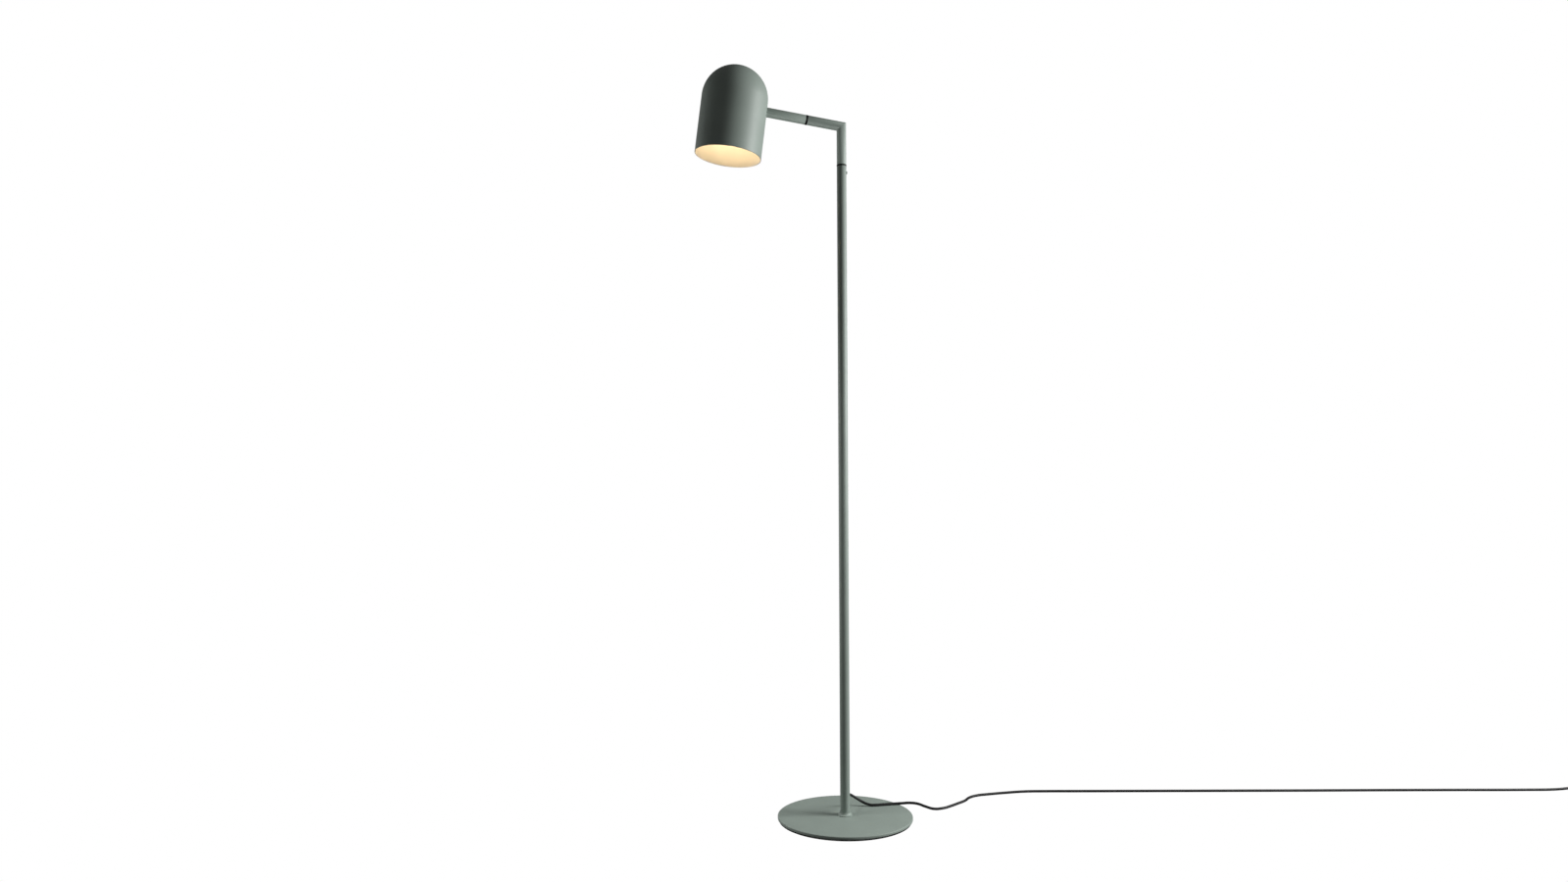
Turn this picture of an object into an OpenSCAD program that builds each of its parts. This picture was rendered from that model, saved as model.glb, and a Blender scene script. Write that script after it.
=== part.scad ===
// Floor lamp with a round foot, a straight pole, a swivelling elbow and a turning arm
// that carries a tall dome shade. Millimetres, +Z up, origin under the middle of the foot.

/* [Foot] */
// Diameter of the steel foot plate
foot_d = 250; // [220:5:300]
// Thickness of the steel foot plate
foot_t = 5; // [4:1:10]
// Thickness of the rubber pad under the plate
pad_t = 3; // [2:0.5:4]
// Distance from the plate's edge in to the pad's edge
pad_inset = 2; // [2:1:10]
// Diameter of the flared collar where the pole meets the plate
collar_d = 29; // [26:1:40]
// Height of the collar
collar_h = 6; // [4:1:12]

/* [Pole] */
// Outer diameter of the pole and of the arm
tube_d = 18; // [18:1:22]
// Wall thickness of the tubes
tube_wall = 1; // [1:0.1:1.4]
// Height of the middle of the pole's swivel ring
pole_ring_z = 1225; // [1000:1:1500]
// Thickness of the pole's swivel ring
pole_ring_t = 2.6; // [2:0.2:4]
// Height at which the lead leaves the pole
lead_exit_z = 35; // [34:1:60]

/* [Arm] */
// Height of the corner of the elbow above the swivel ring
elbow_rise = 75; // [60:1:100]
// Angle by which the arm rises from level
arm_rise = 7; // [0:1:15]
// Distance from the corner to the arm's swivel ring
arm_ring_s = 69; // [66:1:90]
// Thickness of the arm's swivel ring
arm_ring_t = 3.2; // [2:0.2:4]
// Distance from the corner to the axis of the shade
arm_reach = 208; // [200:1:300]
// Turn of each swivel to either side before it meets its stop
swivel_turn = 165; // [90:5:165]

/* [Shade] */
// Outer diameter of the shade
shade_d = 124; // [120:1:140]
// Height of the straight part of the shade
shade_straight = 109; // [100:1:130]
// Wall thickness of the shade
shade_wall = 1.2; // [1:0.1:2]
// Height of the arm above the opening of the shade
arm_in_shade = 96; // [90:1:100]

/* [Lamp] */
// Diameter of the round bulb
bulb_d = 45; // [40:1:50]
// Height of the lampholder's seat above the opening
holder_top = 143; // [140:1:144]

/* [Lead] */
// Diameter of the round two-core lead
lead_d = 5; // [4:0.5:6]
// Travel of the foot switch's button
button_travel = 2.5; // [1:0.5:3]

/* [Hidden] */

$fn = 96;
// Overshoot of a cutting shape, and the gap between faces of pieces that turn on each other
over = 1;
turn_gap = 0.2;
// Radial play of a pressed or threaded piece, and of a running one
seat_play = 0.05;
run_play = 0.06;

green = [0.55, 0.60, 0.56];
black = [0.06, 0.06, 0.06];
zinc = [0.72, 0.72, 0.70];
white = [0.93, 0.92, 0.89];
opal = [0.98, 0.95, 0.88];

// Foot and pole
plate_z = pad_t;
foot_top = pad_t + foot_t;
tube_r = tube_d / 2;
bore_r = tube_r - tube_wall;
bush_r = bore_r - seat_play;
screw_r = 3;
screw_head_r = 6;
screw_head_h = 3.3;
screw_key_r = 2.3;
screw_key_h = 2.4;
screw_end = 6;
plug_h = 20;
pole_top = pole_ring_z - pole_ring_t / 2;
elbow_z = pole_ring_z + elbow_rise;

// Swivel unit, along its own +Z from the middle of its ring
nipple_r = 5;
nipple_bore_r = 3.3;
bush_h = 24;
socket_h = 16;
ring_proud = 0.3;
ring_bore_r = nipple_r + 0.3;
washer_h = 1;
washer_r = 7.4;
nut_h = 5;
nut_flats = 13;
nipple_past_nut = 1.5;
pin_r = 0.7;
pin_ring_r = 6.6;
pin_depth = 4;
pin_stand = 1.6;
groove_play = 0.3;
groove_turn = swivel_turn + 9;
set_screw_drop = 13;
set_screw_r = 1.95;
set_head_r = 2.7;
set_head_h = 1.7;
set_tip_r = 5.7;

// Cable gland in the pole
gland_r = 3.45;
gland_flange_r = 4.8;
gland_flange_y = 10.5;
gland_base_r = 4.2;
gland_tip_r = 3.3;
gland_tip_y = 29;
gland_turn = -25;
lead_r = lead_d / 2;
lead_play = 0.2;

// Elbow and arm
mitre = (90 - arm_rise) / 2;
mitre_lap = 0.02;
corner_r = 20;
arm_wall_s = arm_reach - shade_d / 2;
end_bush_s = 122;
end_bush_h = 22;

// Shade and what hangs in it, in the shade's frame: +X towards the pole, +Z up its axis
shade_r = shade_d / 2;
shade_in_r = shade_r - shade_wall;
nipple_in_r = 48;
saddle_r = 9;
saddle_face = 58.2;
strip_t = 1.5;
strip_w = 16;
strip_x = saddle_face - 0.05;
lock_face = strip_x - strip_t - seat_play;
lock_t = 0.8;
nut_face = lock_face - lock_t - seat_play;
lock_r = 8.2;
shade_nut_flats = 14;
loose_play = 0.1;
holder_r = 14;
holder_in_r = 12;
holder_mouth = 97;
holder_split = 122;
holder_nipple_h = 16;
holder_nipple_in = 8;
holder_roof = 6;
holder_wall = 2;
lead_entry_h = 130;
mouth_rim_t = 3;
contact_t = 5;
contact_r = 3;
contact_stem_h = 12;
cap_r = 6.9;
cap_play = 0.4;
cap_gap = 0.2;
cap_cone_h = 2.8;
cap_top = 120;
glass_mouth = 98;
bulb_neck_r = 8.5;
bulb_neck_h = 6;
bulb_neck_in = 2.2;
bulb_shoulder = 35;
bulb_centre = 66.5;

// Foot switch, in its own frame: +X along the lead, away from the lamp
switch_at = [1531.7, -154.5, 0];
switch_turn = -12;
switch_l = 66;
switch_w = 30;
switch_h = 19;
switch_split = 6.5;
switch_wall = 1.8;
switch_floor = 3;
button_r = 9;
button_flange_r = 10.5;
button_top = switch_h + button_travel + 0.5;
button_foot = 14;
boot_l = 20;
boot_tube_r = 3.5;
boot_hole_r = 3.6;
boot_bore_r = 2;
boot_r = 4.6;
post_x = 24;
post_r = 3.2;
pilot_r = 1.2;
screw_recess_r = 2.8;
screw_recess_h = 1.8;
switch_screw_r = 2.5;
switch_screw_z = 0.3;
switch_screw_head = 1.4;
switch_screw_h = 11;
core = [30, 18, 7];
core_pin_r = 3;

// Coil, tie and plug, in the switch's frame
coil_at = [116, -34.5, 0];
coil_low = 0.9;
coil_high = 11;
coil_in_r = 19;
coil_out_r = 37;
tie_w = 9;
tie_t = 0.8;
tie_play = 0.1;
plug_at = [66, -67, 6.8];
plug_l = 32;
plug_w = 35;
plug_half_t = 6.75;
plug_pin_r = 2;
plug_pin_l = 19;
plug_pin_gap = 18.6;
plug_pin_root = 7;
plug_relief_l = 20;

// The lead's route from the gland to the switch, and its ends in the switch's frame
cord_route = [
    [12.3, 26.3, 35], [16.5, 35.3, 34.4], [22, 42.2, 31.8], [29, 46.5, 27.2], [37, 47.6, 21.8],
    [45, 46, 16.8], [53, 42.8, 13], [61, 39.8, 11], [69.5, 38.4, 10.6], [81, 38.2, 10.6],
    [94, 38.5, 10.6], [108, 38.5, 10.6], [122, 36.6, 11], [136, 32, 12.2], [149.5, 26, 11.6],
    [163, 19.6, 7.4], [178, 15.4, 3.2], [197, 16.5, 2.6], [216, 26, 2.6], [236, 39, 2.6],
    [256, 53, 2.6], [273, 71, 2.6], [293, 81, 2.6], [318, 84, 2.6], [354, 86, 2.6],
    [394, 86, 2.6], [440, 78, 2.6], [500, 65, 2.6], [650, 33, 2.6], [800, 1, 2.6],
    [950, -31, 2.6], [1100, -62, 2.6], [1250, -94, 2.6], [1380, -122, 2.6],
    [1440, -135, 3.4], [1480, -143.5, 6.5]
];
link_route = [[53, 0, 6.5], [68, 0, 5], [86, 0, 3.4], [104, 0, 3.4]];
tail_route = [[104, -67, 8.4], [96, -67, 7.8], [86, -67, 6.8]];
exit_route = [[0, 28.9, 35], [0, 12, 35], [0, 4, 37], [0, 0, 44], [0, 0, 54]];

// Points and tubes -------------------------------------------------------------------

function unit(v) = v / norm(v);

// Point at t, from 0 to 1, between b and c on the smooth curve through a, b, c and d
function between(a, b, c, d, t) =
    (2 * b + (c - a) * t + (2 * a - 5 * b + 4 * c - d) * t * t
    + (3 * b - a - 3 * c + d) * t * t * t) / 2;

// The smooth curve through the points of a route, with steps points for each stretch.
// It runs on straight at both ends.
function smooth(route, steps) =
    let (n = len(route), r = concat([2 * route[0] - route[1]], route,
        [2 * route[n - 1] - route[n - 2]]))
    [
        for (i = [1 : n - 1], k = [0 : steps - 1])
            between(r[i - 1], r[i], r[i + 1], r[i + 2], k / steps),
        route[n - 1]
    ];

function heading(path, i) =
    unit(path[min(i + 1, len(path) - 1)] - path[max(i - 1, 0)]);

// One ring of points round the path; ref is a direction that the path never takes
function ring(path, i, ref, r, sides) =
    let (t = heading(path, i), u = unit(cross(ref, t)), v = cross(t, u))
    [for (k = [0 : sides - 1])
        path[i] + r * (cos(360 * k / sides) * u + sin(360 * k / sides) * v)];

// Tube of diameter d swept along a path
module sweep(path, ref, d, sides) {
    rings = len(path);
    points = [for (i = [0 : rings - 1]) each ring(path, i, ref, d / 2, sides)];
    walls = [
        for (i = [0 : rings - 2], k = [0 : sides - 1])
            let (a = i * sides + k, b = i * sides + (k + 1) % sides)
            each [[a, a + sides, b], [b, a + sides, b + sides]]
    ];
    first = [for (k = [0 : sides - 1]) k];
    last = [for (k = [0 : sides - 1]) rings * sides - 1 - k];
    polyhedron(points = points, faces = concat(walls, [first, last]));
}

// Arc of a bend in the XZ plane, about centre c, from angle a to angle b
function bend(c, r, a, b, n) =
    [for (k = [0 : n]) let (w = a + (b - a) * k / n) [c[0] + r * cos(w), 0, c[1] + r * sin(w)]];

// Places ------------------------------------------------------------------------------

module at_pole_swivel() translate([0, 0, pole_ring_z]) children();

// The arm's frame: origin at the elbow's corner, the arm along -X
module arm_frame() translate([0, 0, elbow_z]) rotate([0, arm_rise, 0]) children();

// Child's +Z points along the arm, from a point s away from the corner
module along_arm(s) arm_frame() translate([-s, 0, 0]) rotate([0, -90, 0]) children();

module at_arm_swivel() along_arm(arm_ring_s) children();

module shade_frame() arm_frame() translate([-arm_reach, 0, -arm_in_shade]) children();

// Child's +Z points into the shade along the arm, from a distance x off its axis
module into_shade(x)
    shade_frame() translate([x, 0, arm_in_shade]) rotate([0, -90, 0]) children();

module switch_frame() translate(switch_at) rotate([0, 0, switch_turn]) children();

// Shapes that repeat --------------------------------------------------------------------

module pipe(r, wall, h) {
    difference() {
        cylinder(r = r, h = h);
        translate([0, 0, -over]) cylinder(r = r - wall, h = h + 2 * over);
    }
}

module hex_nut(flats, bore, h) {
    difference() {
        cylinder(r = flats / 2 / cos(30), h = h, $fn = 6);
        translate([0, 0, -over]) cylinder(r = bore, h = h + 2 * over);
    }
}

// Radial hole or screw shank, square to the unit's axis and below its ring
module set_screw_line(r, from, to)
    translate([from, 0, -set_screw_drop]) rotate([0, 90, 0]) cylinder(r = r, h = to - from, $fn = 32);

// Fixed half of a swivel: a bush in the end of the carrying tube
module swivel_bush(ring_t) {
    difference() {
        translate([0, 0, -ring_t / 2 - bush_h]) pipe(bush_r, bush_r - nipple_r - run_play, bush_h);
        set_screw_line(set_screw_r + seat_play, set_tip_r - over, tube_r);
        translate([pin_ring_r, 0, -ring_t / 2 - pin_depth])
            cylinder(r = pin_r + 0.02, h = pin_depth + over, $fn = 32);
    }
}

module swivel_pin(ring_t) {
    translate([pin_ring_r, 0, -ring_t / 2 - pin_depth])
        cylinder(r = pin_r, h = pin_depth + ring_t + pin_stand, $fn = 32);
}

module swivel_ring(ring_t) {
    difference() {
        translate([0, 0, -ring_t / 2])
            pipe(tube_r + ring_proud, tube_r + ring_proud - ring_bore_r, ring_t);
        translate([pin_ring_r, 0, -ring_t])
            cylinder(r = pin_r + 0.1, h = 2 * ring_t, $fn = 32);
    }
}

// Turning half: a threaded socket in the end of the carried tube, with the stop's groove
module swivel_socket(ring_t) {
    low = ring_t / 2 + turn_gap;
    groove_in = pin_ring_r - pin_r - groove_play;
    groove_out = pin_ring_r + pin_r + groove_play;
    difference() {
        translate([0, 0, low]) pipe(bush_r, bush_r - nipple_r - seat_play, socket_h);
        rotate([0, 0, -groove_turn])
            rotate_extrude(angle = 2 * groove_turn)
                translate([groove_in, low - over])
                    square([groove_out - groove_in, pin_stand + over]);
    }
}

module swivel_nipple(ring_t) {
    low = -ring_t / 2 - bush_h - turn_gap - washer_h - nut_h - nipple_past_nut;
    high = ring_t / 2 + turn_gap + socket_h;
    translate([0, 0, low]) pipe(nipple_r, nipple_r - nipple_bore_r, high - low);
}

module swivel_washer(ring_t) {
    translate([0, 0, -ring_t / 2 - bush_h - turn_gap - washer_h])
        pipe(washer_r, washer_r - nipple_r - seat_play, washer_h);
}

module swivel_nut(ring_t) {
    translate([0, 0, -ring_t / 2 - bush_h - turn_gap - washer_h - seat_play - nut_h])
        hex_nut(nut_flats, nipple_r + seat_play, nut_h);
}

// Screw through the tube's wall that holds the bush
module set_screw() {
    set_screw_line(set_screw_r, set_tip_r, tube_r);
    set_screw_line(set_head_r, tube_r, tube_r + set_head_h);
}

// Foot and pole ---------------------------------------------------------------------------

module base_plate() {
    color(green)
    difference() {
        translate([0, 0, plate_z]) rotate_extrude($fn = 180) {
            square([foot_d / 2 - 1, foot_t]);
            translate([0, 1]) square([foot_d / 2, foot_t - 2]);
            translate([foot_d / 2 - 1, 1]) circle(r = 1, $fn = 24);
            translate([foot_d / 2 - 1, foot_t - 1]) circle(r = 1, $fn = 24);
        }
        translate([0, 0, -over]) cylinder(r = screw_r + 0.2, h = foot_top + 2 * over);
        translate([0, 0, plate_z - 0.01])
            cylinder(r1 = screw_head_r + 0.1, r2 = screw_r + 0.1, h = screw_head_h + 0.01);
    }
}

module base_pad() {
    color(black) cylinder(r = foot_d / 2 - pad_inset, h = pad_t);
}

// Countersunk screw up into the plug in the foot of the pole
module base_screw() {
    color(zinc)
    difference() {
        translate([0, 0, plate_z + 0.1]) {
            cylinder(r1 = screw_head_r, r2 = screw_r, h = screw_head_h);
            cylinder(r = screw_r, h = foot_t + plug_h - screw_end);
        }
        translate([0, 0, plate_z - over]) cylinder(r = screw_key_r, h = screw_key_h + over, $fn = 6);
    }
}

module foot_plug() {
    color(zinc)
    translate([0, 0, foot_top])
        pipe(bush_r, bush_r - screw_r - seat_play, plug_h);
}

// Collar that flares from the pole out to the plate
module foot_collar() {
    lip = 1.5;
    neck = 1.2;
    low_r = collar_d / 2;
    high_r = tube_r + neck;
    color(green)
    translate([0, 0, foot_top])
    rotate_extrude()
        difference() {
            translate([tube_r + seat_play, 0]) square([low_r - tube_r - seat_play, collar_h]);
            translate([low_r, collar_h]) scale([1, (collar_h - lip) / (low_r - high_r)])
                circle(r = low_r - high_r, $fn = 64);
        }
}

module pole_tube() {
    color(green)
    difference() {
        translate([0, 0, foot_top]) pipe(tube_r, tube_wall, pole_top - foot_top);
        translate([0, 0, lead_exit_z]) rotate([-90, 0, gland_turn])
            cylinder(r = gland_r + seat_play, h = tube_d, $fn = 48);
        at_pole_swivel() set_screw_line(set_screw_r + seat_play, set_tip_r, tube_d);
    }
}

// Tapered gland that the lead leaves the pole through, behind and low down
module cord_relief() {
    color(black)
    translate([0, 0, lead_exit_z]) rotate([0, 0, gland_turn]) difference() {
        rotate([-90, 0, 0]) {
            translate([0, 0, tube_r - 3]) cylinder(r = gland_r, h = 4, $fn = 48);
            difference() {
                translate([0, 0, tube_r - 2])
                    cylinder(r = gland_flange_r, h = gland_flange_y - tube_r + 2, $fn = 48);
                translate([0, -tube_d, 0]) rotate([-90, 0, 0])
                    cylinder(r = tube_r + seat_play, h = 2 * tube_d);
            }
            translate([0, 0, tube_r + 1])
                cylinder(r1 = gland_base_r, r2 = gland_tip_r, h = gland_tip_y - tube_r - 1, $fn = 48);
        }
        rotate([-90, 0, 0]) cylinder(r = lead_r + lead_play, h = 2 * gland_tip_y, $fn = 48);
    }
}

// The lead inside the pole, from the gland's tip up to the swivel
module pole_lead() {
    top = pole_top - bush_h - turn_gap - washer_h - nut_h - nipple_past_nut - 0.6;
    path = concat(smooth(exit_route, 5), [[0, 0, 300], [0, 0, 600], [0, 0, 900], [0, 0, top]]);
    color(black) rotate([0, 0, gland_turn]) sweep(path, [1, 0, 0], lead_d, 10);
}

module pole_bush() {
    color(zinc) at_pole_swivel() swivel_bush(pole_ring_t);
}

module pole_set_screw() {
    color(green) at_pole_swivel() set_screw();
}

module pole_stop_pin() {
    color(zinc) at_pole_swivel() swivel_pin(pole_ring_t);
}

module pole_ring() {
    color(black) at_pole_swivel() swivel_ring(pole_ring_t);
}

// Elbow ---------------------------------------------------------------------------------

// Both legs of the elbow as solid rods of radius r, cut to a mitre at the corner
module elbow_rods(r, low, reach) {
    big = 120;
    past = 2 * tube_d;
    difference() {
        translate([0, 0, low - elbow_z]) cylinder(r = r, h = elbow_z - low + past);
        rotate([0, -mitre, 0]) translate([-big / 2, -big / 2, 0]) cube(big);
    }
    difference() {
        rotate([0, arm_rise - 90, 0]) translate([0, 0, -past])
            cylinder(r = r, h = reach + past);
        rotate([0, -mitre, 0]) translate([-big / 2, -big / 2, -big - mitre_lap]) cube(big);
    }
}

module elbow_tube() {
    low = pole_ring_z + pole_ring_t / 2 + turn_gap;
    reach = arm_ring_s - arm_ring_t / 2;
    color(green)
    difference() {
        translate([0, 0, elbow_z]) difference() {
            elbow_rods(tube_r, low, reach);
            elbow_rods(bore_r, low - over, reach + over);
        }
        at_arm_swivel() rotate([0, 0, 90])
            set_screw_line(set_screw_r + seat_play, set_tip_r, tube_d);
    }
}

module elbow_socket() {
    color(zinc) at_pole_swivel() swivel_socket(pole_ring_t);
}

module pole_nipple() {
    color(zinc) at_pole_swivel() swivel_nipple(pole_ring_t);
}

module pole_washer() {
    color(zinc) at_pole_swivel() swivel_washer(pole_ring_t);
}

module pole_nut() {
    color(zinc) at_pole_swivel() swivel_nut(pole_ring_t);
}

// The lead from the pole's swivel round the elbow to the arm's swivel
module elbow_lead() {
    low = pole_top - bush_h - turn_gap - washer_h - nut_h - nipple_past_nut - 0.3;
    reach = arm_ring_s - arm_ring_t / 2 - bush_h - turn_gap - washer_h - nut_h
        - nipple_past_nut - 0.6;
    tangent = corner_r * tan(mitre);
    arc = bend([-corner_r, elbow_z - tangent], corner_r, 0, 2 * mitre, 8);
    last = [-reach * cos(arm_rise), 0, elbow_z + reach * sin(arm_rise)];
    color(black) sweep(concat([[0, 0, low]], arc, [last]), [0, 1, 0], lead_d, 10);
}

module arm_bush() {
    color(zinc) at_arm_swivel() rotate([0, 0, 90]) swivel_bush(arm_ring_t);
}

module arm_set_screw() {
    color(green) at_arm_swivel() rotate([0, 0, 90]) set_screw();
}

module arm_stop_pin() {
    color(zinc) at_arm_swivel() rotate([0, 0, 90]) swivel_pin(arm_ring_t);
}

module arm_ring() {
    color(black) at_arm_swivel() rotate([0, 0, 90]) swivel_ring(arm_ring_t);
}

// Arm -----------------------------------------------------------------------------------

module arm_tube() {
    start = arm_ring_s + arm_ring_t / 2 + turn_gap;
    saddle_cut = 4;
    color(green)
    difference() {
        along_arm(start) pipe(tube_r, tube_wall, arm_wall_s - start + saddle_cut);
        shade_frame() cylinder(r = shade_r + seat_play, h = shade_straight);
    }
}

module arm_socket() {
    color(zinc) at_arm_swivel() rotate([0, 0, 90]) swivel_socket(arm_ring_t);
}

module arm_nipple() {
    color(zinc) at_arm_swivel() swivel_nipple(arm_ring_t);
}

module arm_washer() {
    color(zinc) at_arm_swivel() swivel_washer(arm_ring_t);
}

module arm_nut() {
    color(zinc) at_arm_swivel() swivel_nut(arm_ring_t);
}

// The lead from the arm's swivel into the shade and up to the side of the lampholder
module arm_lead() {
    start = arm_ring_s - arm_ring_t / 2 - bush_h - turn_gap - washer_h - nut_h
        - nipple_past_nut - 0.3;
    inside = smooth([[46, 0, 96], [42, 0, 97], [33, 0, 106], [24, 0, 120], [17, 0, 128],
        [holder_r + 0.3, 0, 130]], 3);
    color(black) arm_frame()
        sweep(concat([[-start, 0, 0]],
            [for (p = inside) p - [arm_reach, 0, arm_in_shade]]), [0, 1, 0], lead_d - 0.6, 8);
}

// Threaded bush in the shade end of the arm
module arm_end_bush() {
    color(zinc) along_arm(end_bush_s)
        pipe(bush_r, bush_r - nipple_r - seat_play, end_bush_h);
}

// Shade ---------------------------------------------------------------------------------

// Hollow threaded rod that passes through the shade's wall
module shade_nipple() {
    color(zinc) along_arm(end_bush_s + 2)
        pipe(nipple_r, nipple_r - nipple_bore_r, arm_reach - nipple_in_r - end_bush_s - 2);
}

module dome_outline(r) {
    square([r, shade_straight]);
    intersection() {
        translate([0, shade_straight]) circle(r = r, $fn = 180);
        translate([0, shade_straight]) square([r, r]);
    }
}

module shade_shell() {
    color(green) shade_frame()
    difference() {
        rotate_extrude($fn = 180) difference() {
            dome_outline(shade_r);
            translate([-over, -over]) square([over + shade_in_r, over + shade_straight / 2]);
            dome_outline(shade_in_r);
        }
        translate([shade_in_r - 2 * shade_wall, 0, arm_in_shade]) rotate([0, 90, 0])
            cylinder(r = nipple_r + 0.1, h = 5 * shade_wall, $fn = 48);
    }
}

// Washer with one hollow face that follows the inside of the shade
module saddle_washer() {
    color(zinc) intersection() {
        into_shade(shade_r) pipe(saddle_r, saddle_r - nipple_r - loose_play, shade_r - saddle_face);
        shade_frame() cylinder(r = shade_in_r - seat_play, h = shade_straight, $fn = 720);
    }
}

// Bent steel strip from the nipple up to the lampholder
module shade_bracket() {
    foot = 86;
    knee = 118;
    head_x = 40;
    tail_x = -11;
    rise = (holder_top - knee) / (strip_x - head_x);
    slant_t = strip_t * sqrt(1 + rise * rise);
    color(zinc) shade_frame()
    difference() {
        rotate([90, 0, 0]) translate([0, 0, -strip_w / 2]) linear_extrude(strip_w)
            polygon([
                [strip_x, foot], [strip_x, knee],
                [head_x, holder_top + strip_t], [tail_x, holder_top + strip_t],
                [tail_x, holder_top], [head_x - strip_t / 2, holder_top],
                [strip_x - strip_t, knee - slant_t / 2], [strip_x - strip_t, foot]
            ]);
        translate([strip_x - 2 * strip_t, 0, arm_in_shade]) rotate([0, 90, 0])
            cylinder(r = nipple_r + 0.1, h = 4 * strip_t, $fn = 48);
        translate([0, 0, holder_top - strip_t])
            cylinder(r = nipple_r + 0.1, h = 4 * strip_t, $fn = 48);
    }
}

module shade_lock_washer() {
    color(zinc) into_shade(lock_face) pipe(lock_r, lock_r - nipple_r - loose_play, lock_t);
}

module shade_nut() {
    color(zinc) into_shade(nut_face) hex_nut(shade_nut_flats, nipple_r + seat_play, nut_h);
}

// Lampholder and bulb -----------------------------------------------------------------------

module holder_nipple() {
    color(zinc) shade_frame() translate([0, 0, holder_top - holder_nipple_in])
        pipe(nipple_r, nipple_r - nipple_bore_r, holder_nipple_h);
}

module holder_nut() {
    color(zinc) shade_frame() translate([0, 0, holder_top + strip_t + seat_play])
        hex_nut(shade_nut_flats, nipple_r + seat_play, nut_h);
}

// Upper half of the lampholder, with the lead's entry in its side
module holder_cap() {
    color(white) shade_frame()
    difference() {
        translate([0, 0, holder_split]) cylinder(r = holder_r, h = holder_top - holder_split);
        translate([0, 0, holder_split - over])
            cylinder(r = holder_in_r, h = holder_top - holder_split - holder_roof + over);
        translate([0, 0, holder_split]) cylinder(r = nipple_r + seat_play, h = holder_top);
        translate([0, 0, lead_entry_h]) rotate([0, 90, 0])
            cylinder(r = lead_r, h = 2 * holder_r, $fn = 48);
    }
}

module holder_sleeve() {
    color(white) shade_frame() translate([0, 0, holder_mouth]) {
        pipe(holder_r, holder_wall, holder_split - holder_mouth);
        pipe(holder_in_r + 0.5, holder_in_r + 0.5 - cap_r - cap_play, mouth_rim_t);
    }
}

// Contact block that the bulb's cap meets
module holder_contact() {
    color(white) shade_frame() translate([0, 0, cap_top + cap_play]) {
        cylinder(r = holder_in_r - cap_gap, h = contact_t);
        cylinder(r = contact_r, h = contact_stem_h);
    }
}

module bulb_cap() {
    color(zinc) shade_frame() translate([0, 0, glass_mouth + cap_gap]) {
        cylinder(r = cap_r, h = cap_top - glass_mouth - cap_gap - cap_cone_h);
        cylinder(r1 = cap_r, r2 = contact_r, h = cap_top - glass_mouth - cap_gap);
    }
}

module bulb_glass() {
    ball_r = bulb_d / 2;
    color(opal) shade_frame()
    rotate_extrude() {
        intersection() {
            translate([0, bulb_centre]) circle(r = ball_r, $fn = 96);
            translate([0, bulb_centre - ball_r]) square([ball_r, 2 * ball_r]);
        }
        polygon([
            [0, bulb_centre],
            [ball_r * cos(bulb_shoulder), bulb_centre + ball_r * sin(bulb_shoulder)],
            [bulb_neck_r, glass_mouth - bulb_neck_h],
            [bulb_neck_r - bulb_neck_in, glass_mouth], [0, glass_mouth]
        ]);
    }
}

// Lead, foot switch, coil and plug ------------------------------------------------------------

module power_cord() {
    color(black) sweep(smooth(cord_route, 2), [0, 0, 1], lead_d, 10);
}

// Oblong of length l and width w with round ends, h high
module oblong(l, w, h) {
    translate([-(l - w) / 2, -w / 2, 0]) cube([l - w, w, h]);
    for (side = [-1, 1])
        translate([side * (l - w) / 2, 0, 0]) cylinder(r = w / 2, h = h);
}

// Hollow for the boots that hold the lead at both ends of the switch
module boot_holes() {
    for (side = [0, 180])
        rotate([0, 0, side]) translate([switch_l / 2 - 2 * switch_wall, 0, switch_split])
            rotate([0, 90, 0]) cylinder(r = boot_hole_r, h = 3 * switch_wall, $fn = 48);
}

module switch_boots() {
    color(black) switch_frame()
    for (side = [0, 180])
        rotate([0, 0, side]) translate([0, 0, switch_split]) difference() {
            rotate([0, 90, 0]) {
                translate([0, 0, switch_l / 2 - 4]) cylinder(r = boot_tube_r, h = 5, $fn = 48);
                translate([0, 0, switch_l / 2 + 0.05])
                    cylinder(r1 = boot_r, r2 = gland_tip_r, h = boot_l - 0.1, $fn = 48);
            }
            rotate([0, 90, 0]) cylinder(r = boot_bore_r, h = switch_l / 2 + boot_l - 3, $fn = 32);
        }
}

module switch_base() {
    color(black) switch_frame()
    difference() {
        oblong(switch_l, switch_w, switch_split);
        translate([0, 0, switch_floor])
            oblong(switch_l - 2 * switch_wall, switch_w - 2 * switch_wall, switch_h);
        boot_holes();
        for (side = [-1, 1]) translate([side * post_x, 0, -over]) {
            cylinder(r = pilot_r + 0.4, h = switch_h, $fn = 32);
            cylinder(r = screw_recess_r, h = screw_recess_h + over, $fn = 32);
        }
    }
}

module switch_screws() {
    color(zinc) switch_frame()
    for (side = [-1, 1]) translate([side * post_x, 0, switch_screw_z]) {
        cylinder(r = switch_screw_r, h = switch_screw_head, $fn = 32);
        cylinder(r = pilot_r, h = switch_screw_h, $fn = 32);
    }
}

// The switching mechanism under the button
module switch_core() {
    color(black) switch_frame() {
        translate([-core[0] / 2, -core[1] / 2, switch_floor + 0.1]) cube(core);
        translate([0, 0, switch_floor + core[2]]) cylinder(r = core_pin_r, h = 1, $fn = 32);
    }
}

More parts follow.
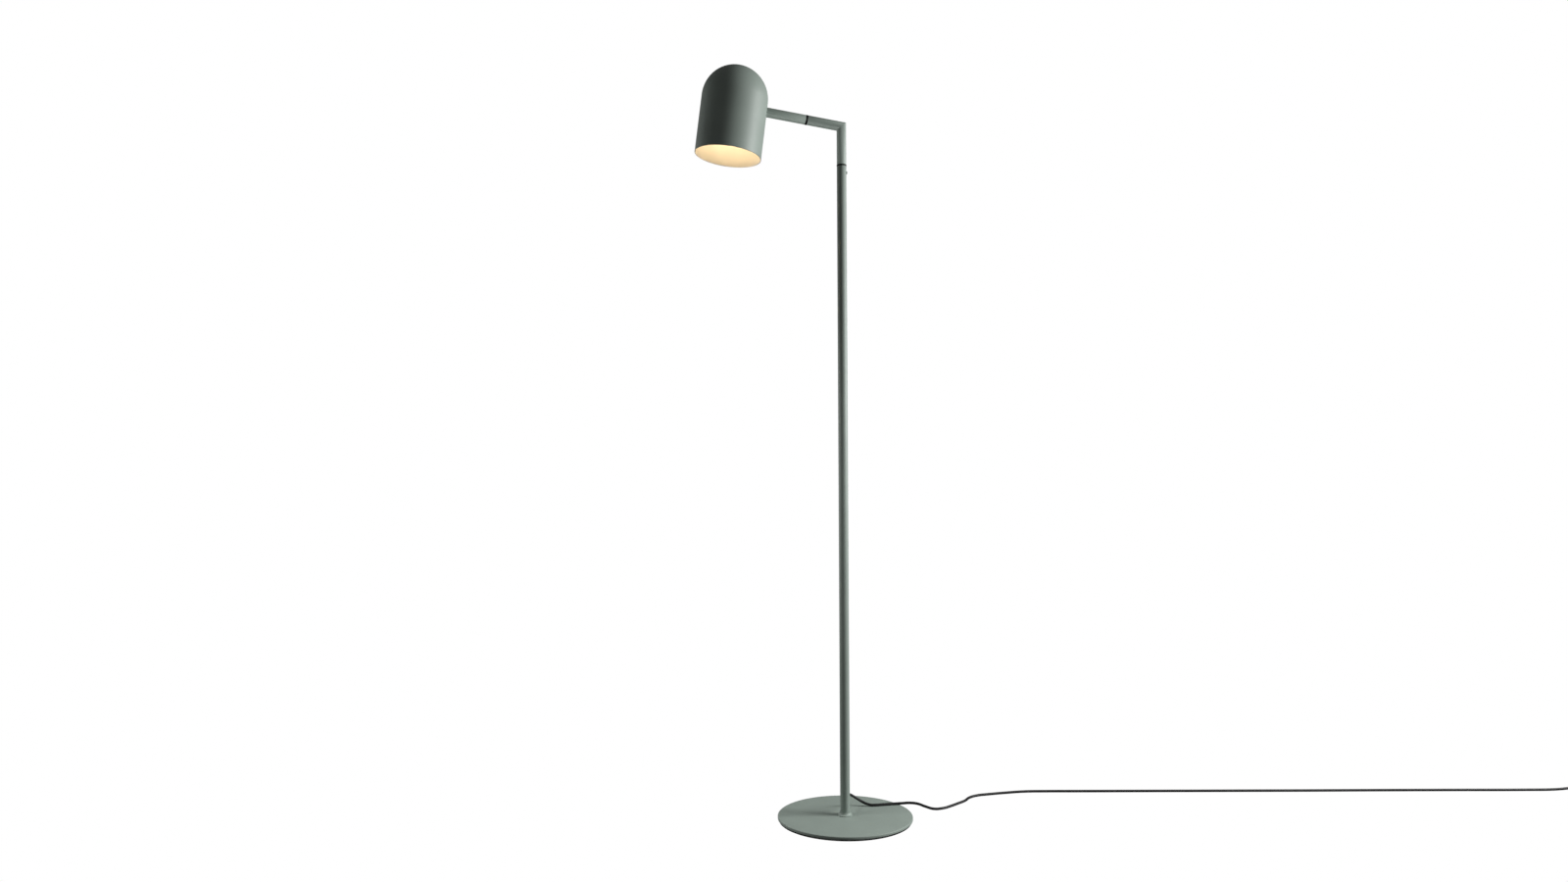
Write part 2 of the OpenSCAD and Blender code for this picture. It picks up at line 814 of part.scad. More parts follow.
module switch_cover() {
    color(black) switch_frame()
    difference() {
        union() {
            difference() {
                translate([0, 0, switch_split + 0.05])
                    oblong(switch_l, switch_w, switch_h - switch_split - 0.05);
                translate([0, 0, -over])
                    oblong(switch_l - 2 * switch_wall, switch_w - 2 * switch_wall,
                        switch_h - switch_wall + over);
            }
            for (side = [-1, 1]) translate([side * post_x, 0, switch_floor + 0.1])
                cylinder(r = post_r, h = switch_h - switch_floor - 1, $fn = 48);
        }
        boot_holes();
        cylinder(r = button_r + 0.4, h = 2 * switch_h);
        for (side = [-1, 1]) translate([side * post_x, 0, 0])
            cylinder(r = pilot_r + seat_play, h = switch_screw_h + 1, $fn = 32);
    }
}

module switch_button() {
    flange_top = switch_h - switch_wall - 0.1;
    color(black) switch_frame() {
        translate([0, 0, button_foot]) cylinder(r = button_r, h = button_top - button_foot);
        translate([0, 0, button_foot])
            cylinder(r = button_flange_r, h = flange_top - button_foot);
    }
}

module link_cord() {
    color(black) switch_frame() sweep(smooth(link_route, 2), [0, 0, 1], lead_d, 10);
}

module cord_coil() {
    color(black) switch_frame() translate(coil_at)
    rotate_extrude() {
        translate([coil_in_r + lead_r, coil_low])
            square([coil_out_r - coil_in_r - lead_d, coil_high - coil_low]);
        translate([coil_in_r, coil_low + lead_r])
            square([coil_out_r - coil_in_r, coil_high - coil_low - lead_d]);
        for (x = [coil_in_r + lead_r, coil_out_r - lead_r],
             z = [coil_low + lead_r, coil_high - lead_r])
            translate([x, z]) circle(r = lead_r, $fn = 32);
    }
}

// Band round the coil that holds its turns together
module cord_tie() {
    in_w = coil_out_r - coil_in_r + 2 * tie_play;
    in_h = coil_high - coil_low + 2 * tie_play;
    mid_r = (coil_in_r + coil_out_r) / 2;
    color(black) switch_frame() translate(coil_at + [mid_r, -tie_w / 2, 0])
    difference() {
        translate([-in_w / 2 - tie_t, 0, coil_low - tie_play - tie_t])
            cube([in_w + 2 * tie_t, tie_w, in_h + 2 * tie_t]);
        translate([-in_w / 2, -over, coil_low - tie_play])
            cube([in_w, tie_w + 2 * over, in_h]);
    }
}

module tail_cord() {
    color(black) switch_frame() sweep(smooth(tail_route, 2), [0, 0, 1], lead_d, 10);
}

// Flat two-pin plug that lies on the floor, pins along the switch frame's -X
module plug_body() {
    half = (plug_w - 2 * plug_half_t) / 2;
    color(black) switch_frame() translate(plug_at)
    difference() {
        rotate([0, -90, 0]) {
            for (side = [-1, 1]) translate([0, side * half, 0]) cylinder(r = plug_half_t, h = plug_l);
            translate([-plug_half_t, -half, 0]) cube([2 * plug_half_t, 2 * half, plug_l]);
            translate([0, 0, 0.1 - plug_relief_l])
                cylinder(r1 = gland_tip_r, r2 = plug_half_t - 1, h = plug_relief_l);
        }
        for (side = [-1, 1])
            translate([-plug_l - over, side * plug_pin_gap / 2, 0]) rotate([0, 90, 0])
                cylinder(r = plug_pin_r + 0.03, h = plug_pin_root + over, $fn = 48);
    }
}

module plug_pins() {
    color(zinc) switch_frame() translate(plug_at)
    for (side = [-1, 1])
        translate([-plug_l - plug_pin_l + plug_pin_r, side * plug_pin_gap / 2, 0]) {
            sphere(r = plug_pin_r, $fn = 48);
            rotate([0, 90, 0])
                cylinder(r = plug_pin_r, h = plug_pin_l - plug_pin_r + plug_pin_root - 0.1, $fn = 48);
        }
}

base_plate();
base_pad();
base_screw();
foot_plug();
foot_collar();
pole_tube();
cord_relief();
pole_lead();
pole_bush();
pole_set_screw();
pole_stop_pin();
pole_ring();
elbow_tube();
elbow_socket();
pole_nipple();
pole_washer();
pole_nut();
elbow_lead();
arm_bush();
arm_set_screw();
arm_stop_pin();
arm_ring();
arm_tube();
arm_socket();
arm_nipple();
arm_washer();
arm_nut();
arm_lead();
arm_end_bush();
shade_nipple();
shade_shell();
saddle_washer();
shade_bracket();
shade_lock_washer();
shade_nut();
holder_nipple();
holder_nut();
holder_cap();
holder_sleeve();
holder_contact();
bulb_cap();
bulb_glass();
power_cord();
switch_boots();
switch_base();
switch_screws();
switch_core();
switch_cover();
switch_button();
link_cord();
cord_coil();
cord_tie();
tail_cord();
plug_body();
plug_pins();
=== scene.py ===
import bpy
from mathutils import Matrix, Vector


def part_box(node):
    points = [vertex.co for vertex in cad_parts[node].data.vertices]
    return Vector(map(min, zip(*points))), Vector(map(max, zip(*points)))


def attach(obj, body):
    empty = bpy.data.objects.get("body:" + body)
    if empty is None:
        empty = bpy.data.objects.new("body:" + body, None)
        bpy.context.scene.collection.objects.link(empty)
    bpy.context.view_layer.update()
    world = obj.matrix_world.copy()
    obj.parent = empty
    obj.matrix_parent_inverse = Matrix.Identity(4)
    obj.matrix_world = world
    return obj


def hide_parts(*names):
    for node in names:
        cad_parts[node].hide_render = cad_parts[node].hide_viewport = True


bl_info = {
    "name": "Adjustable Arm Floor Lamp",
    "version": (1, 0, 0),
    "blender": (4, 5, 0),
    "location": "View3D > Sidebar > Floor Lamp",
    "description": "Finishes, lead, bulb and studio for a floor lamp with a turning arm",
    "category": "Object",
}

import math
import bpy
from bpy.props import FloatProperty, FloatVectorProperty, PointerProperty
from mathutils import Euler, Matrix, Vector

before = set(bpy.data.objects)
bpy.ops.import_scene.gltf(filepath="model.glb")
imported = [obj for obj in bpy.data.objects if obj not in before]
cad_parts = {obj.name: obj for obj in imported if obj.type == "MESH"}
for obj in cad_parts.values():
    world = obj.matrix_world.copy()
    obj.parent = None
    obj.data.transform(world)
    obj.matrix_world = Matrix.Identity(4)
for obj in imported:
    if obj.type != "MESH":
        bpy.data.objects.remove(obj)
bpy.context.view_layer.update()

# Places that the frame gives: the foot, the pole, the ring on it and the elbow's lower end
PLATE_LOW, PLATE_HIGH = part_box("base_plate")
PAD_LOW, PAD_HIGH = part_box("base_pad")
POLE_LOW, POLE_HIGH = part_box("pole_tube")
RING_LOW, RING_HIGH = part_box("pole_ring")
ELBOW_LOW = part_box("elbow_tube")[0]

# How the arm, the shade, the foot switch and the gland lie
SHADE_TURN = math.radians(7)
SHADE_REACH = 0.208
SHADE_DROP = 0.096
CORNER_Z = 1.3
ARM = Matrix.Translation((0, 0, CORNER_Z)) @ Matrix.Rotation(SHADE_TURN, 4, "Y")
SHADE = ARM @ Matrix.Translation((-SHADE_REACH, 0, -SHADE_DROP))
SWITCH = Matrix.Translation((1.5317, -0.1545, 0)) @ Matrix.Rotation(math.radians(-12), 4, "Z")
ARM_WAY = ARM.to_3x3() @ Vector((-1, 0, 0))
GLAND_TURN = math.radians(-25)
GLAND_TIP = (0.0123, 0.0263, 0.035)

# Distances along the arm, from the elbow's corner: the elbow's end, the ring and the screw of
# the second swivel, and the arm's two ends before the shade's wall is taken out of it
ELBOW_END = 0.0674
ARM_RING_AT = 0.069
ARM_SCREW_AT = 0.056
ARM_START = 0.0708
ARM_END = 0.1465

# The height of the first swivel's screw, and the bore and edge radius of both rings
POLE_SCREW_Z = 1.212
RING_BORE = 0.0053
RING_ROUND = 0.0003

# How far the plug's pins lie from its middle, and the foot switch's outline and hollow
PIN_OUT = 0.0093
SWITCH_OUTLINE = (0.066, 0.03)
SWITCH_HOLLOW = (0.0624, 0.0264)

# The camera, with its angles in degrees; the softboxes are placed from its turn
CAMERA_PLACE = (-0.52645, -1.95986, 0.6286)
CAMERA_LENS = 24.768
CAMERA_TURN = 11.9
CAMERA_TILT = 2.1
CAMERA_ROLL = -0.204

# The lead's way over the foot and the floor, from the gland to the foot switch, in metres
LEAD_ROUTE = [
    (0.0123, 0.0263, 0.035), (0.0165, 0.0353, 0.0344), (0.022, 0.0422, 0.0318),
    (0.029, 0.0465, 0.0272), (0.037, 0.0476, 0.0218), (0.045, 0.046, 0.0168),
    (0.053, 0.0428, 0.013), (0.061, 0.0398, 0.011), (0.0695, 0.0384, 0.0106),
    (0.081, 0.0382, 0.0106), (0.094, 0.0385, 0.0106), (0.108, 0.0385, 0.0106),
    (0.122, 0.0366, 0.011), (0.136, 0.032, 0.0122), (0.1495, 0.026, 0.0116),
    (0.163, 0.0196, 0.0074), (0.178, 0.0154, 0.0032),
    (0.197, 0.0165, 0.0026), (0.216, 0.026, 0.0026), (0.236, 0.039, 0.0026),
    (0.256, 0.053, 0.0026), (0.273, 0.071, 0.0026), (0.293, 0.081, 0.0026),
    (0.318, 0.084, 0.0026), (0.354, 0.086, 0.0026), (0.394, 0.086, 0.0026),
    (0.440, 0.078, 0.0026), (0.500, 0.065, 0.0026), (0.650, 0.033, 0.0026),
    (0.800, 0.001, 0.0026), (0.950, -0.031, 0.0026), (1.100, -0.062, 0.0026),
    (1.250, -0.094, 0.0026), (1.380, -0.122, 0.0026), (1.440, -0.135, 0.0034),
    (1.480, -0.1435, 0.0065),
]
# What follows in the switch's frame: through the switch to the coil, and from it to the plug
LINK_ROUTE = [
    (-0.030, 0, 0.0065), (0, 0, 0.0065), (0.030, 0, 0.0065), (0.053, 0, 0.0065),
    (0.068, 0, 0.005), (0.086, 0, 0.0034), (0.104, 0, 0.0034),
]
TAIL_ROUTE = [(0.104, -0.067, 0.0084), (0.096, -0.067, 0.0078), (0.086, -0.067, 0.0068)]
COIL_MIDDLE = Vector((0.116, -0.0345, 0))
PLUG_AT = Vector((0.066, -0.067, 0.0068))


# Sizes and colours ---------------------------------------------------------------------


class FootSizes(bpy.types.PropertyGroup):
    edge_round: FloatProperty(
        name="Edge round", description="Radius along the edges of the steel foot plate",
        default=0.001, min=0.0002, max=0.0024, unit="LENGTH")
    collar_diameter: FloatProperty(
        name="Collar", description="Width of the flared collar where it meets the plate",
        default=0.029, min=0.022, max=0.04, unit="LENGTH")


class TubeSizes(bpy.types.PropertyGroup):
    diameter: FloatProperty(
        name="Tube", description="Outer diameter of the pole, the elbow and the arm",
        default=0.018, min=0.01, max=0.03, unit="LENGTH")
    wall: FloatProperty(
        name="Wall", description="Wall thickness of the tubes",
        default=0.001, min=0.0005, max=0.002, unit="LENGTH")
    coat: FloatVectorProperty(
        name="Powder coat", description="Colour of the coated metal",
        default=(0.262, 0.312, 0.279), min=0, max=1, subtype="COLOR")


class ShadeSizes(bpy.types.PropertyGroup):
    diameter: FloatProperty(
        name="Shade", description="Outer diameter of the shade",
        default=0.124, min=0.08, max=0.2, unit="LENGTH")
    straight: FloatProperty(
        name="Straight wall", description="Height of the wall below the dome",
        default=0.109, min=0.05, max=0.2, unit="LENGTH")
    wall: FloatProperty(
        name="Wall", description="Thickness of the shade's wall",
        default=0.0012, min=0.0006, max=0.003, unit="LENGTH")
    lining: FloatVectorProperty(
        name="Lining", description="Colour of the enamel inside the shade",
        default=(0.86, 0.84, 0.79), min=0, max=1, subtype="COLOR")


class LightSizes(bpy.types.PropertyGroup):
    bulb_diameter: FloatProperty(
        name="Bulb", description="Diameter of the round bulb",
        default=0.045, min=0.03, max=0.06, unit="LENGTH")
    bulb_glow: FloatVectorProperty(
        name="Glow", description="Colour of the bulb's light",
        default=(1.0, 0.76, 0.46), min=0, max=1, subtype="COLOR")
    bulb_strength: FloatProperty(
        name="Bulb strength", description="Brightness of the bulb's opal glass",
        default=6.8, min=0, max=50)
    key_watts: FloatProperty(
        name="Side softbox", description="Power of the tall softbox beside the lamp",
        default=78, min=0, max=500, subtype="POWER")
    foot_watts: FloatProperty(
        name="Foot softboxes", description="Power of each softbox over the foot",
        default=5.2, min=0, max=500, subtype="POWER")


class LeadSizes(bpy.types.PropertyGroup):
    diameter: FloatProperty(
        name="Lead", description="Diameter of the round lead",
        default=0.005, min=0.003, max=0.008, unit="LENGTH")


class FloorLamp(bpy.types.PropertyGroup):
    foot: PointerProperty(type=FootSizes)
    tube: PointerProperty(type=TubeSizes)
    shade: PointerProperty(type=ShadeSizes)
    light: PointerProperty(type=LightSizes)
    lead: PointerProperty(type=LeadSizes)


# Modelling by hand ---------------------------------------------------------------------


def deselect():
    if bpy.context.object and bpy.context.object.mode != "OBJECT":
        bpy.ops.object.mode_set(mode="OBJECT")
    bpy.ops.object.select_all(action="DESELECT")


def take(obj):
    """Makes obj the one selected and active object."""
    deselect()
    obj.select_set(True)
    bpy.context.view_layer.objects.active = obj


def settle(obj, where=None):
    """Puts a finished mesh in its place and leaves its object unturned at the origin."""
    take(obj)
    if where is not None:
        obj.matrix_world = where @ obj.matrix_world
    bpy.ops.object.transform_apply(location=True, rotation=True, scale=True)


def rod(name, radius, low, high, sides, ends="NGON"):
    deselect()
    bpy.ops.mesh.primitive_cylinder_add(
        vertices=sides, radius=radius, depth=high - low, end_fill_type=ends,
        location=(0, 0, (low + high) / 2))
    obj = bpy.context.object
    obj.name = obj.data.name = name
    settle(obj)
    return obj


def turned(name, profile, steps):
    """Spins a profile of (radius, height) points about Z, as on a lathe."""
    deselect()
    bpy.ops.mesh.primitive_plane_add(size=0.01)
    obj = bpy.context.object
    obj.name = obj.data.name = name
    bpy.ops.object.mode_set(mode="EDIT")
    bpy.ops.mesh.select_mode(type="VERT")
    bpy.ops.mesh.select_all(action="SELECT")
    bpy.ops.mesh.merge(type="CENTER")
    bpy.ops.transform.translate(value=(profile[0][0], 0, profile[0][1]))
    for (r0, z0), (r1, z1) in zip(profile, profile[1:]):
        bpy.ops.mesh.extrude_region_move(TRANSFORM_OT_translate={"value": (r1 - r0, 0, z1 - z0)})
    bpy.ops.mesh.select_all(action="SELECT")
    bpy.ops.mesh.spin(steps=steps, angle=2 * math.pi, center=(0, 0, 0), axis=(0, 0, 1))
    bpy.ops.mesh.select_all(action="SELECT")
    bpy.ops.mesh.remove_doubles(threshold=2e-6)
    bpy.ops.mesh.normals_make_consistent(inside=False)
    bpy.ops.object.mode_set(mode="OBJECT")
    return obj


def pick(obj, kind, parts, test):
    """Opens obj for editing with only those parts of its mesh selected that pass."""
    take(obj)
    bpy.ops.object.mode_set(mode="EDIT")
    bpy.ops.mesh.select_mode(type=kind)
    bpy.ops.mesh.select_all(action="DESELECT")
    bpy.ops.object.mode_set(mode="OBJECT")
    for part in getattr(obj.data, parts):
        part.select = test(part)
    bpy.ops.object.mode_set(mode="EDIT")


def pick_faces(obj, test):
    """Picks the faces whose middle and normal pass."""
    pick(obj, "FACE", "polygons", lambda face: test(face.center, face.normal))


def pick_edges(obj, test):
    """Picks the edges whose two ends pass."""
    pick(obj, "EDGE", "edges", lambda edge: test(*(obj.data.vertices[i].co for i in edge.vertices)))


def pick_points(obj, test):
    """Picks the points whose place passes."""
    pick(obj, "VERT", "vertices", lambda point: test(point.co))


def level(a, b):
    """Whether an edge from a to b lies flat."""
    return abs(a.z - b.z) < 1e-6


def close_edit():
    bpy.ops.object.mode_set(mode="OBJECT")


def round_edges(obj, test, offset, segments):
    pick_edges(obj, test)
    bpy.ops.mesh.bevel(offset=offset, segments=segments, affect="EDGES")
    close_edit()


def apply_new(obj, kind, **settings):
    """Adds a modifier, sets it and applies it."""
    take(obj)
    bpy.ops.object.modifier_add(type=kind)
    modifier = obj.modifiers[-1]
    for key, value in settings.items():
        setattr(modifier, key, value)
    bpy.ops.object.modifier_apply(modifier=modifier.name)


def soften(obj, width, segments=2, angle=30):
    apply_new(obj, "BEVEL", width=width, segments=segments, limit_method="ANGLE",
              angle_limit=math.radians(angle))


def cut(obj, cutter):
    """Takes the cutter's shape out of obj and removes the cutter."""
    apply_new(obj, "BOOLEAN", operation="DIFFERENCE", solver="EXACT", object=cutter)
    bpy.data.objects.remove(cutter)


def oblong(name, length, width, low, high, sides=64):
    """Block with half-round ends: a cylinder whose halves are drawn apart along X."""
    obj = rod(name, width / 2, low, high, sides)
    obj.matrix_world = Matrix.Rotation(math.pi / sides, 4, "Z")
    settle(obj)
    for side in (-1, 1):
        pick_points(obj, lambda p: p.x * side > 0 and abs(p.x) <= width / 2)
        bpy.ops.transform.translate(value=(side * (length - width) / 2, 0, 0))
        close_edit()
    return obj


def finish_piece(obj, body, slot, nodes, *finishes, angle=35):
    """Gives a piece its finish and its shading, and hangs it on its body."""
    take(obj)
    bpy.ops.object.shade_smooth_by_angle(angle=math.radians(angle))
    if not obj.data.materials:
        for finish in finishes:
            obj.data.materials.append(finish)
    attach(obj, body)
    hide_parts(*nodes)
    return obj


def along(s):
    """Frame whose +Z runs along the arm, s from the elbow's corner."""
    return ARM @ Matrix.Translation((-s, 0, 0)) @ Matrix.Rotation(-math.pi / 2, 4, "Y")


def arc(middle, radius, start, end, count):
    """Points of (radius, height) round a middle, between two angles in degrees."""
    turns = [math.radians(start + (end - start) * k / count) for k in range(count + 1)]
    return [(middle[0] + radius * math.cos(w), middle[1] + radius * math.sin(w)) for w in turns]


# Finishes ------------------------------------------------------------------------------


def socket(node, name, value):
    node.inputs[name].default_value = value


def noise(tree, where, size, detail=2.0, stretch=None):
    """Noise whose features are about size metres across."""
    if stretch is not None:
        mapping = tree.nodes.new("ShaderNodeMapping")
        socket(mapping, "Scale", stretch)
        tree.links.new(where, mapping.inputs["Vector"])
        where = mapping.outputs["Vector"]
    made = tree.nodes.new("ShaderNodeTexNoise")
    socket(made, "Scale", 1 / size)
    socket(made, "Detail", detail)
    tree.links.new(where, made.inputs["Vector"])
    return made.outputs["Fac"]


def ramp(tree, factor, stops):
    made = tree.nodes.new("ShaderNodeValToRGB")
    made.color_ramp.elements[0].position, made.color_ramp.elements[0].color = stops[0]
    made.color_ramp.elements[1].position, made.color_ramp.elements[1].color = stops[-1]
    for place, colour in stops[1:-1]:
        made.color_ramp.elements.new(place).color = colour
    tree.links.new(factor, made.inputs["Fac"])
    return made.outputs["Color"]


def span(tree, factor, low, high):
    made = tree.nodes.new("ShaderNodeMapRange")
    socket(made, "From Min", 0.3)
    socket(made, "From Max", 0.7)
    socket(made, "To Min", low)
    socket(made, "To Max", high)
    tree.links.new(factor, made.inputs["Value"])
    return made.outputs["Result"]


def shaded(colour, share):
    return tuple(min(1, channel * share) for channel in colour) + (1,)


def finish(name, colour, rough, grain, relief, drift=0.05, metal=0.0, spec=0.5, stretch=None):
    """Surface with a fine grain in relief, and a slight drift in its tone and gloss."""
    made = bpy.data.materials.new(name)
    made.use_nodes = True
    tree = made.node_tree
    skin = tree.nodes["Principled BSDF"]
    socket(skin, "Metallic", metal)
    socket(skin, "Specular IOR Level", spec)
    where = tree.nodes.new("ShaderNodeTexCoord").outputs["Object"]
    broad = noise(tree, where, 0.04, 3)
    fine = noise(tree, where, grain, 2, stretch)
    stops = [(0.35, shaded(colour, 1 - drift)), (0.65, shaded(colour, 1 + drift))]
    tones = ramp(tree, broad, stops)
    tree.links.new(tones, skin.inputs["Base Color"])
    gloss = span(tree, fine, rough[0], rough[1])
    tree.links.new(gloss, skin.inputs["Roughness"])
    bump = tree.nodes.new("ShaderNodeBump")
    socket(bump, "Strength", 0.6)
    socket(bump, "Distance", relief)
    tree.links.new(fine, bump.inputs["Height"])
    tree.links.new(bump.outputs["Normal"], skin.inputs["Normal"])
    return made


def powder_coat():
    coat = bpy.data.materials.get("sage_powder_coat_finish")
    if coat is None:
        colour = tuple(bpy.context.scene.floor_lamp.tube.coat)
        coat = finish("sage_powder_coat_finish", colour, (0.46, 0.6), 0.0008, 0.00004, 0.025)
    return coat


def named_finish(name):
    """The one finish of that name, made the first time that it is asked for."""
    found = bpy.data.materials.get(name)
    if found is not None:
        return found
    recipes = {
        "shade_lining_enamel": lambda: finish(
            name, tuple(bpy.context.scene.floor_lamp.shade.lining), (0.4, 0.55), 0.001, 0.00003,
            0.02),
        "foot_pad_rubber": lambda: finish(
            name, (0.004, 0.004, 0.004), (0.75, 0.92), 0.0006, 0.00008, 0.2, spec=0.15),
        "swivel_nylon": lambda: finish(
            name, (0.004, 0.004, 0.004), (0.55, 0.72), 0.0005, 0.00002, 0.15, spec=0.2),
        "zinc_plated_steel": lambda: finish(
            name, (0.62, 0.61, 0.58), (0.22, 0.42), 0.0004, 0.00003, 0.08, metal=1.0,
            stretch=(1, 1, 6)),
        "lead_pvc": lambda: finish(
            name, (0.008, 0.008, 0.0085), (0.42, 0.6), 0.0007, 0.00005, 0.2, spec=0.32),
        "gland_rubber": lambda: finish(
            name, (0.014, 0.014, 0.015), (0.5, 0.68), 0.0005, 0.00004, 0.15),
        "switch_plastic": lambda: finish(
            name, (0.014, 0.014, 0.015), (0.4, 0.58), 0.0004, 0.00006, 0.12),
        "button_plastic": lambda: finish(
            name, (0.03, 0.03, 0.031), (0.28, 0.4), 0.0006, 0.00003, 0.12),
        "holder_thermoplastic": lambda: finish(
            name, (0.78, 0.76, 0.7), (0.3, 0.45), 0.0008, 0.00003, 0.03),
        "bulb_cap_brass": lambda: finish(
            name, (0.66, 0.6, 0.48), (0.2, 0.36), 0.0005, 0.00003, 0.08, metal=1.0),
        "contact_brass": lambda: finish(
            name, (0.75, 0.68, 0.5), (0.18, 0.32), 0.0004, 0.00002, 0.06, metal=1.0,
            stretch=(1, 1, 5)),
    }
    return recipes[name]()


def opal_glass(light):
    """Opal glass that glows, a little unevenly, with the bulb's warm light."""
    glow = tuple(light.bulb_glow)
    made = finish("opal_bulb_glass", (0.92, 0.88, 0.8), (0.18, 0.28), 0.002, 0.00002, 0.02)
    tree = made.node_tree
    skin = tree.nodes["Principled BSDF"]
    where = tree.nodes.new("ShaderNodeTexCoord").outputs["Object"]
    patches = noise(tree, where, 0.015, 1)
    tones = ramp(tree, patches, [(0.3, shaded(glow, 0.92)), (0.7, shaded(glow, 1))])
    tree.links.new(tones, skin.inputs["Emission Color"])
    socket(skin, "Emission Strength", light.bulb_strength)
    return made


def strap_weave():
    """Woven hook-and-loop band: a fine crossing weave in relief."""
    made = finish("tie_weave", (0.018, 0.018, 0.019), (0.75, 0.92), 0.0004, 0.00006, 0.2)
    tree = made.node_tree
    skin = tree.nodes["Principled BSDF"]
    where = tree.nodes.new("ShaderNodeTexCoord").outputs["Object"]
    wave = tree.nodes.new("ShaderNodeTexWave")
    wave.wave_type, wave.bands_direction = "BANDS", "DIAGONAL"
    socket(wave, "Scale", 600)
    socket(wave, "Distortion", 0.6)
    tree.links.new(where, wave.inputs["Vector"])
    bump = tree.nodes.new("ShaderNodeBump")
    socket(bump, "Strength", 0.7)
    socket(bump, "Distance", 0.00012)
    tree.links.new(wave.outputs["Fac"], bump.inputs["Height"])
    tree.links.new(bump.outputs["Normal"], skin.inputs["Normal"])
    return made


# Stage ---------------------------------------------------------------------------------


def softbox(name, where, towards, width, height, watts, spread=180):
    bpy.ops.object.light_add(type="AREA", location=where)
    box = bpy.context.object
    box.name = name
    box.data.shape = "RECTANGLE"
    box.data.size, box.data.size_y = width, height
    box.data.energy, box.data.spread = watts, math.radians(spread)
    box.rotation_euler = (Vector(towards) - Vector(where)).to_track_quat("-Z", "Y").to_euler()
    box.visible_camera = False
    return box


def round_lamp(turn, away, height):
    """Place at an angle to the right of the line from the lamp to the camera, in degrees."""
    w = math.radians(turn) - math.radians(90 + CAMERA_TURN)
    return (away * math.cos(w), away * math.sin(w), height)


class LAMP_OT_stage(bpy.types.Operator):
    """Sets up the camera, the softboxes and the pale floor"""
    bl_idname = "floor_lamp.stage"
    bl_label = "Stage"

    def execute(self, context):
        light = context.scene.floor_lamp.light
        deselect()
        bpy.ops.object.camera_add(location=CAMERA_PLACE)
        camera = context.object
        camera.name = "view_camera"
        camera.data.sensor_width = 36
        camera.data.lens = CAMERA_LENS
        aim = Euler((math.radians(90 + CAMERA_TILT), 0, math.radians(-CAMERA_TURN))).to_matrix()
        roll = Matrix.Rotation(math.radians(CAMERA_ROLL), 3, "Z")
        camera.rotation_euler = (aim @ roll).to_euler()
        context.scene.camera = camera

        softbox("side_softbox", round_lamp(83, 2.3, 1.35), (0, 0, 1.3), 0.9, 1.1, light.key_watts)
        softbox("rim_softbox", round_lamp(-118, 2.3, 0.85), (0, 0, 0.85), 1.0, 1.7, 16)
        softbox("arm_softbox", (-0.14, -0.4, 0.1), (-0.07, 0, 1.3), 0.4, 0.4, 0.42, 40)
        for side in (-72, 70):
            place = round_lamp(side, 0.9, 0.95)
            softbox("foot_softbox", place, (place[0], place[1], 0), 0.36, 0.36, light.foot_watts)

        deselect()
        bpy.ops.mesh.primitive_plane_add(size=24, location=(0, 0, -0.0004))
        floor = context.object
        floor.name = "pale_floor"
        bpy.ops.object.transform_apply(location=True, rotation=True, scale=True)
        pale = bpy.data.materials.new("pale_floor_finish")
        pale.use_nodes = True
        tree = pale.node_tree
        tree.nodes.remove(tree.nodes["Principled BSDF"])
        glow = tree.nodes.new("ShaderNodeEmission")
        tree.links.new(glow.outputs["Emission"], tree.nodes["Material Output"].inputs["Surface"])
        floor.data.materials.append(pale)
        floor.visible_diffuse = False
        floor.visible_glossy = False
        floor.visible_transmission = False
        floor.visible_shadow = False

        world = bpy.data.worlds.new("pale_studio")
        world.use_nodes = True
        context.scene.world = world
        tree = world.node_tree
        back = tree.nodes["Background"]
        path = tree.nodes.new("ShaderNodeLightPath")
        seen = tree.nodes.new("ShaderNodeMapRange")
        socket(seen, "To Min", 0.09)
        socket(seen, "To Max", 1.0)
        socket(back, "Color", (1, 1, 1, 1))
        tree.links.new(path.outputs["Is Camera Ray"], seen.inputs["Value"])
        tree.links.new(seen.outputs["Result"], back.inputs["Strength"])
        context.scene.view_settings.view_transform = "Standard"
        return {"FINISHED"}


# Lead ----------------------------------------------------------------------------------


def coil_points():
    """Two layers of turns, wound inwards on the floor and outwards on top of them."""
    low, high, steps = 0.0034, 0.0084, 14
    points = []
    for k in range(int(4.5 * steps) + 1):
        t = k / steps
        if t <= 2.4:
            r = 0.0345 - 0.005 * t
            z = low + (high - low) * max(0, t - 2.0) / 0.4
        else:
            r = min(0.0325, 0.0225 + 0.005 * (t - 2.4))
            z = high
        w = math.radians(90) - 2 * math.pi * t
        points.append(COIL_MIDDLE + Vector((r * math.cos(w), r * math.sin(w), z)))
    return points


